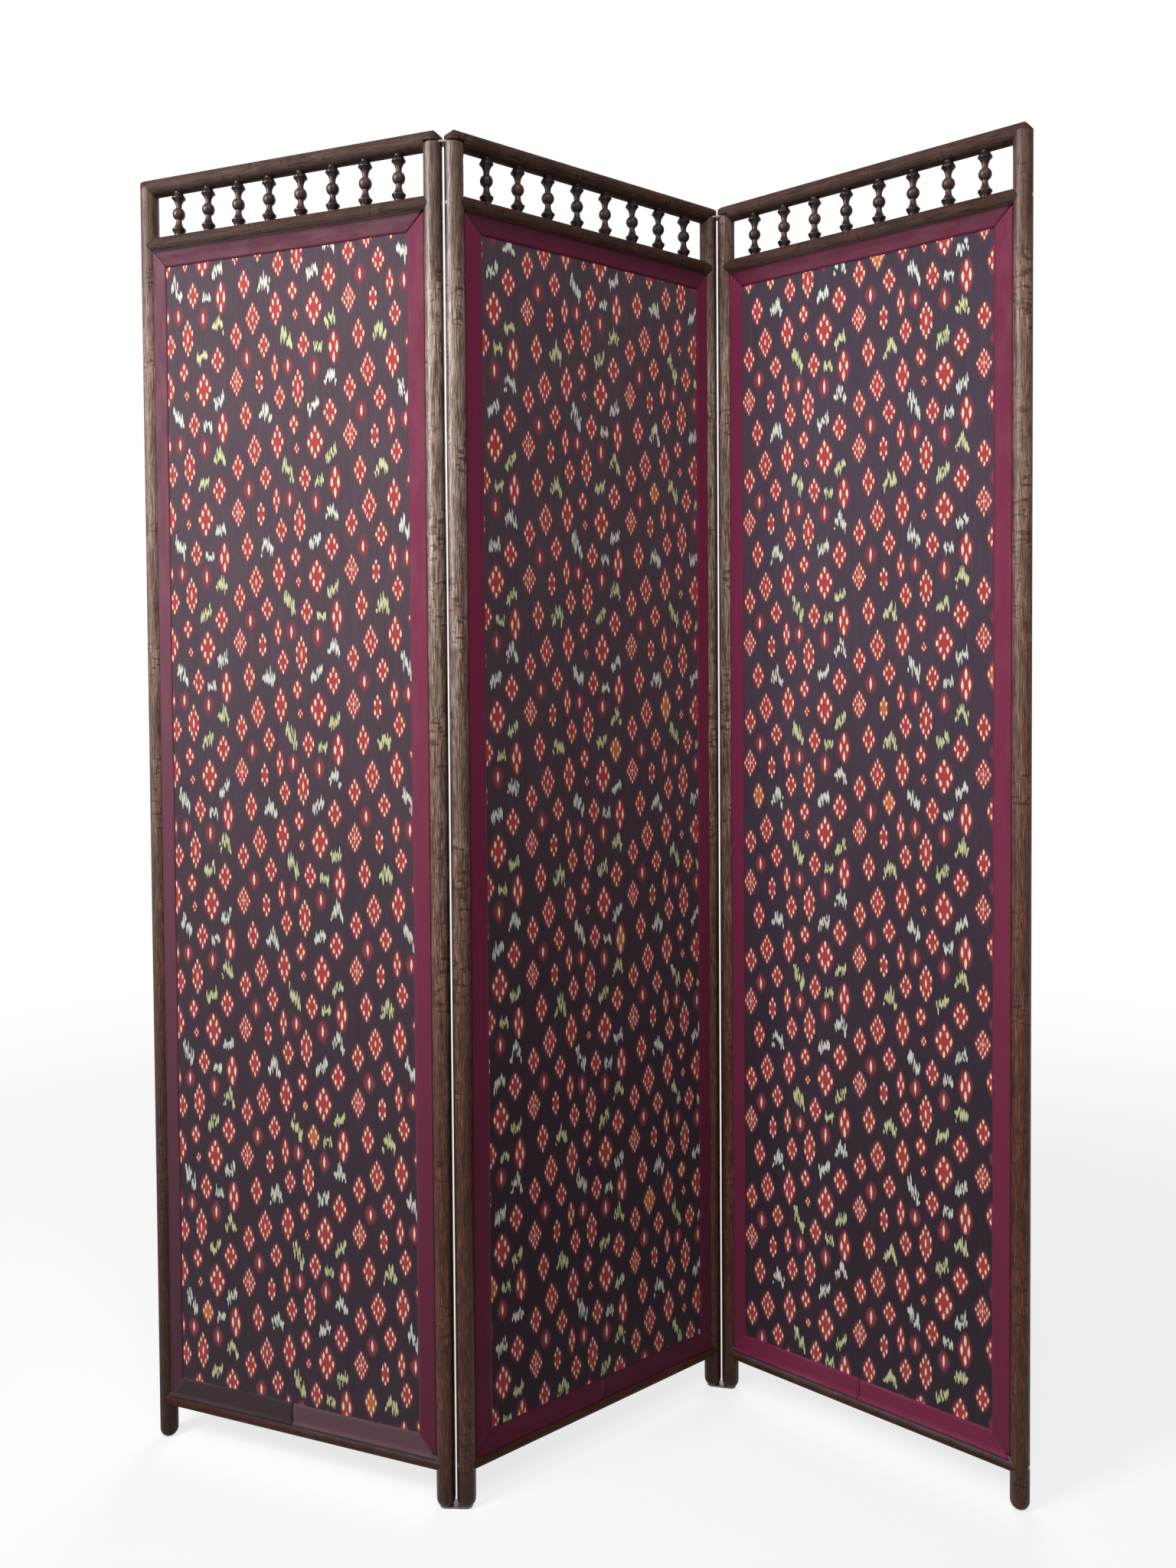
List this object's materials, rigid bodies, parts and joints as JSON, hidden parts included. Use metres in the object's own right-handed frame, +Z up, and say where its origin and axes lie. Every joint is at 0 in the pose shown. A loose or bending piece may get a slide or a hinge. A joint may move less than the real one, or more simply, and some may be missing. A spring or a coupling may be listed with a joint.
{
  "type": "folding room screen",
  "caption": "Free-standing folding room screen: hinged frames of round oak posts and rails with a turned spindle gallery over stretched patterned cloth edged with ribbon.",
  "frame": {"origin": "on the floor, at the middle of the box of the screen as it stands", "axes": "+Z up; +X along the screen, to the right as seen from the front; +Y to the back"},
  "size_m": [1.1676, 0.3048, 1.75],
  "materials": {
    "frame_wood": "dark fumed oak, worn satin varnish with pale rubbed highlights",
    "spindle_wood": "turned oak, darker satin varnish",
    "ikat_cloth": "matt handwoven cotton with feather-edged diamonds and small marks",
    "lining": "plain matt cotton",
    "ribbon": "ribbed ribbon with a faint sheen",
    "nails": "hammered bright nail heads",
    "hinge_steel": "dull grey steel strip"
  },
  "bodies": {
    "left_panel": {"left_outer_post": "frame_wood", "left_hinge_post": "frame_wood", "left_top_rail": "frame_wood", "left_mid_rail": "frame_wood", "left_bottom_rail": "frame_wood", "left_cloth": "ikat_cloth", "left_lining": "lining", "left_front_ribbon": "ribbon", "left_back_ribbon": "ribbon", "left_rail_nails": "nails", "left_hinge_pins": "hinge_steel", "left_spindle_1": "spindle_wood", "left_spindle_2": "spindle_wood", "left_spindle_3": "spindle_wood", "left_spindle_4": "spindle_wood", "left_spindle_5": "spindle_wood", "left_spindle_6": "spindle_wood", "left_spindle_7": "spindle_wood", "left_spindle_8": "spindle_wood"},
    "centre_panel": {"centre_left_post": "frame_wood", "centre_right_post": "frame_wood", "centre_top_rail": "frame_wood", "centre_mid_rail": "frame_wood", "centre_bottom_rail": "frame_wood", "centre_cloth": "ikat_cloth", "centre_lining": "lining", "centre_front_ribbon": "ribbon", "centre_back_ribbon": "ribbon", "centre_rail_nails": "nails", "centre_hinge_pins": "hinge_steel", "centre_spindle_1": "spindle_wood", "centre_spindle_2": "spindle_wood", "centre_spindle_3": "spindle_wood", "centre_spindle_4": "spindle_wood", "centre_spindle_5": "spindle_wood", "centre_spindle_6": "spindle_wood", "centre_spindle_7": "spindle_wood", "centre_spindle_8": "spindle_wood"},
    "right_panel": {"right_hinge_post": "frame_wood", "right_outer_post": "frame_wood", "right_top_rail": "frame_wood", "right_mid_rail": "frame_wood", "right_bottom_rail": "frame_wood", "right_cloth": "ikat_cloth", "right_lining": "lining", "right_front_ribbon": "ribbon", "right_back_ribbon": "ribbon", "right_rail_nails": "nails", "right_hinge_pins": "hinge_steel", "right_spindle_1": "spindle_wood", "right_spindle_2": "spindle_wood", "right_spindle_3": "spindle_wood", "right_spindle_4": "spindle_wood", "right_spindle_5": "spindle_wood", "right_spindle_6": "spindle_wood", "right_spindle_7": "spindle_wood", "right_spindle_8": "spindle_wood"},
    "left_link": {"left_hinge_links": "hinge_steel"},
    "right_link": {"right_hinge_links": "hinge_steel"}
  },
  "joints": [
    {"name": "left_link_pivot", "type": "hinge", "parent": "centre_panel", "child": "left_link", "pos_m": [-0.13669, -0.12826, 0], "axis": [0, 0, -1], "range_deg": [-71, 49]},
    {"name": "left_panel_pivot", "type": "hinge", "parent": "left_link", "child": "left_panel", "pos_m": [-0.16315, -0.12687, 0], "axis": [0, 0, -1], "range_deg": [-47.5, 72.5]},
    {"name": "right_link_pivot", "type": "hinge", "parent": "centre_panel", "child": "right_link", "pos_m": [0.20688, 0.14017, 0], "axis": [0, 0, -1], "range_deg": [-81, 39]},
    {"name": "right_panel_pivot", "type": "hinge", "parent": "right_link", "child": "right_panel", "pos_m": [0.2327, 0.13421, 0], "axis": [0, 0, -1], "range_deg": [-56, 64]}
  ]
}
